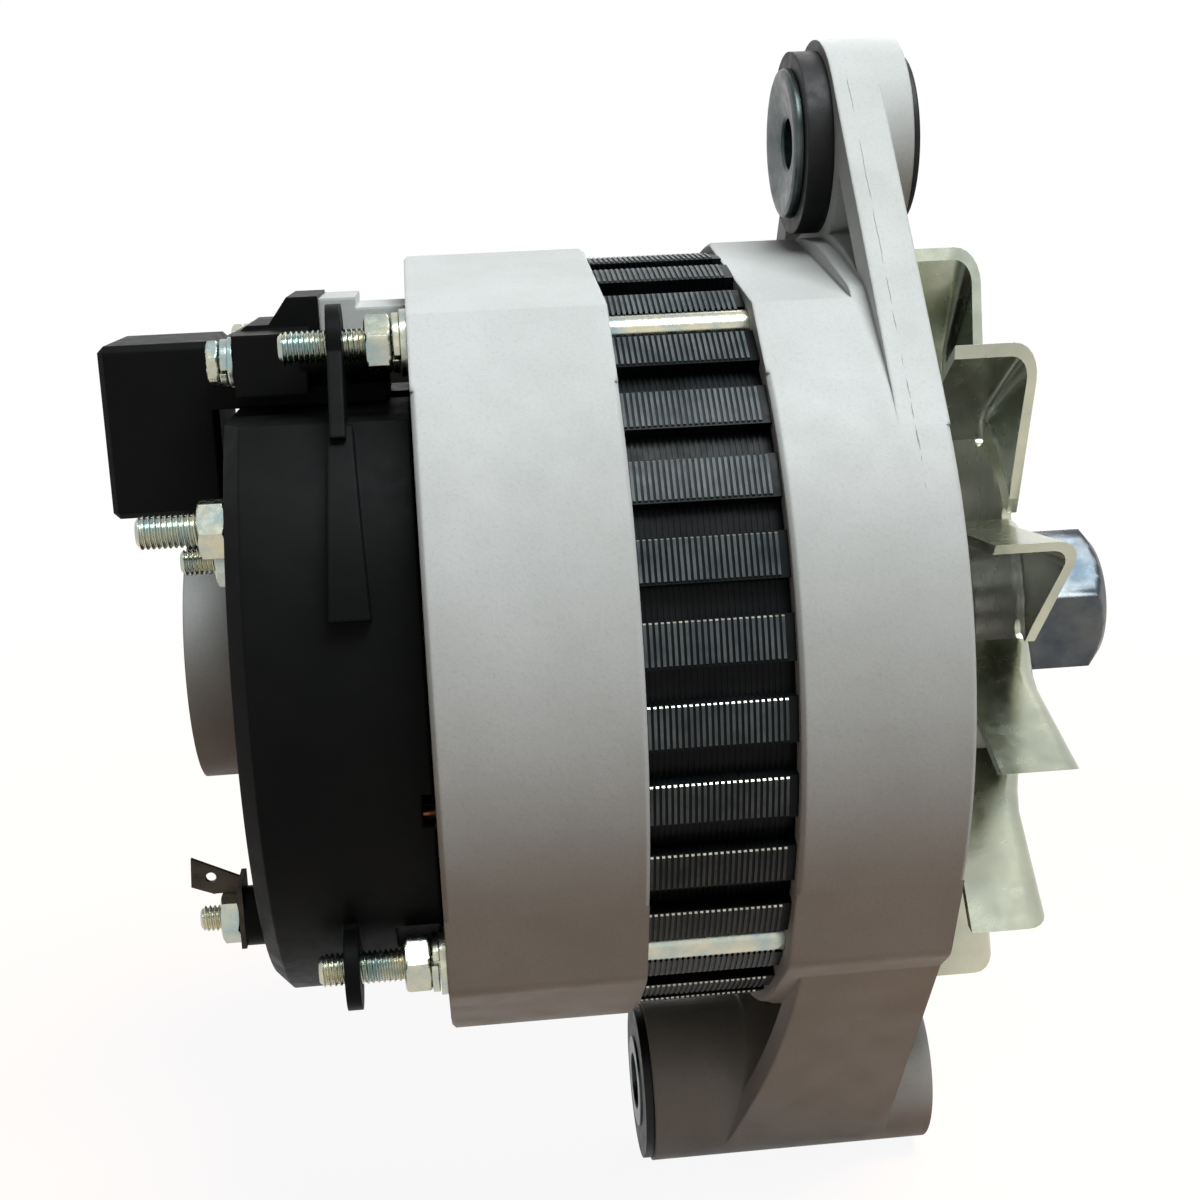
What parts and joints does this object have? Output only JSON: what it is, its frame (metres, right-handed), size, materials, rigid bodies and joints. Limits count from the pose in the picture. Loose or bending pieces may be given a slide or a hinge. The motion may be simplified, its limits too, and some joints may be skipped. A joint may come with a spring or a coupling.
{
  "type": "alternator",
  "caption": "Belt-driven alternator: ridged stator clamped between cast brackets, pivot foot, bushed adjusting ear, open steel fan, black rear cover and regulator with sprung brushes.",
  "frame": {"origin": "centre of the pivot foot's bore", "axes": "+X along the shaft toward the fan and nut, +Z from the foot through the shaft to the adjusting ear, +Y away from the output terminals' side"},
  "size_m": [0.1664, 0.13, 0.197],
  "materials": {
    "cast_aluminium": "sand-blasted casting, matt",
    "lamination_steel": "black lacquer, bare on the edges",
    "copper_wire": "enamelled",
    "zinc_steel": "bright zinc plated",
    "fan_steel": "yellow-green zinc passivated",
    "black_plastic": "satin moulded",
    "holder_plastic": "moulded",
    "carbon": "pressed carbon",
    "spring_steel": "oiled",
    "rubber": "matt",
    "plate_aluminium": "pressed sheet",
    "diode_metal": "nickel plated",
    "insulator": "phenolic",
    "brass": "turned",
    "slip_copper": "polished by the brushes",
    "bearing_steel": "ground",
    "cage_steel": "pressed",
    "shaft_steel": "ground",
    "pole_iron": "forged, lacquered",
    "coil_wrap": "varnished winding",
    "bobbin_plastic": "moulded nylon",
    "nut_steel": "blue zinc plated",
    "blade_tin": "dark tarnished tin"
  },
  "bodies": {
    "housing": {"rear_bracket": "cast_aluminium", "front_bracket": "cast_aluminium", "stator_core": "lamination_steel", "stator_windings": "copper_wire", "phase_leads": "copper_wire", "through_bolts": "zinc_steel", "through_bolt_nuts": "zinc_steel", "spring_washers": "zinc_steel", "flat_washers": "zinc_steel", "rear_cover": "black_plastic", "regulator_housing": "black_plastic", "brush_holder": "holder_plastic", "brush_spring_rear": "spring_steel", "brush_spring_front": "spring_steel", "regulator_screws": "zinc_steel", "regulator_washers": "zinc_steel", "positive_plate": "plate_aluminium", "negative_plate": "plate_aluminium", "positive_diodes": "diode_metal", "negative_diodes": "diode_metal", "rectifier_insulators": "insulator", "rectifier_screws": "zinc_steel", "output_stud": "zinc_steel", "output_spacer": "brass", "output_nut": "zinc_steel", "exciter_stud": "zinc_steel", "phase_stud": "zinc_steel", "small_nuts": "zinc_steel", "phase_blade": "blade_tin", "rear_outer_race": "bearing_steel", "front_outer_race": "bearing_steel", "retainer_plate": "zinc_steel", "retainer_screws": "zinc_steel", "ear_bush_sleeve": "zinc_steel", "ear_bush_rubber": "rubber", "foot_bush_sleeve": "zinc_steel", "foot_bush_rubber": "rubber"},
    "rotor": {"shaft": "shaft_steel", "shaft_key": "shaft_steel", "claw_pole_rear": "pole_iron", "claw_pole_front": "pole_iron", "coil_bobbin": "bobbin_plastic", "field_coil": "coil_wrap", "slip_ring_insulator": "holder_plastic", "slip_rings": "slip_copper", "rear_inner_race": "bearing_steel", "front_inner_race": "bearing_steel", "distance_ring": "shaft_steel", "fan_collar": "shaft_steel", "fan": "fan_steel", "thick_washer": "zinc_steel", "lock_washer": "zinc_steel", "shaft_nut": "nut_steel"},
    "front_cage": {"front_cage": "cage_steel", "front_balls": "bearing_steel"},
    "rear_cage": {"rear_cage": "cage_steel", "rear_balls": "bearing_steel"},
    "rear_brush": {"brush_rear": "carbon"},
    "front_brush": {"brush_front": "carbon"}
  },
  "joints": [
    {"name": "rotor_spin", "type": "hinge", "parent": "housing", "child": "rotor", "pos_m": [0, 0, 0.086], "axis": [1, 0, 0], "continuous": true},
    {"name": "front_cage_spin", "type": "hinge", "parent": "housing", "child": "front_cage", "pos_m": [0, 0, 0.086], "axis": [1, 0, 0], "continuous": true},
    {"name": "rear_cage_spin", "type": "hinge", "parent": "housing", "child": "rear_cage", "pos_m": [0, 0, 0.086], "axis": [1, 0, 0], "continuous": true},
    {"name": "rear_brush_slide", "type": "slide", "parent": "housing", "child": "rear_brush", "axis": [0, 0, 1], "range_m": [0, 0.005], "stiffness_N_per_m": 150, "springref_m": -0.015, "deforming": ["brush_spring_rear"]},
    {"name": "front_brush_slide", "type": "slide", "parent": "housing", "child": "front_brush", "axis": [0, 0, 1], "range_m": [0, 0.005], "stiffness_N_per_m": 150, "springref_m": -0.015, "deforming": ["brush_spring_front"]}
  ],
  "couplings": [
    {"joint": "front_cage_spin", "follows": "rotor_spin", "ratio": 0.3807},
    {"joint": "rear_cage_spin", "follows": "rotor_spin", "ratio": 0.38}
  ]
}
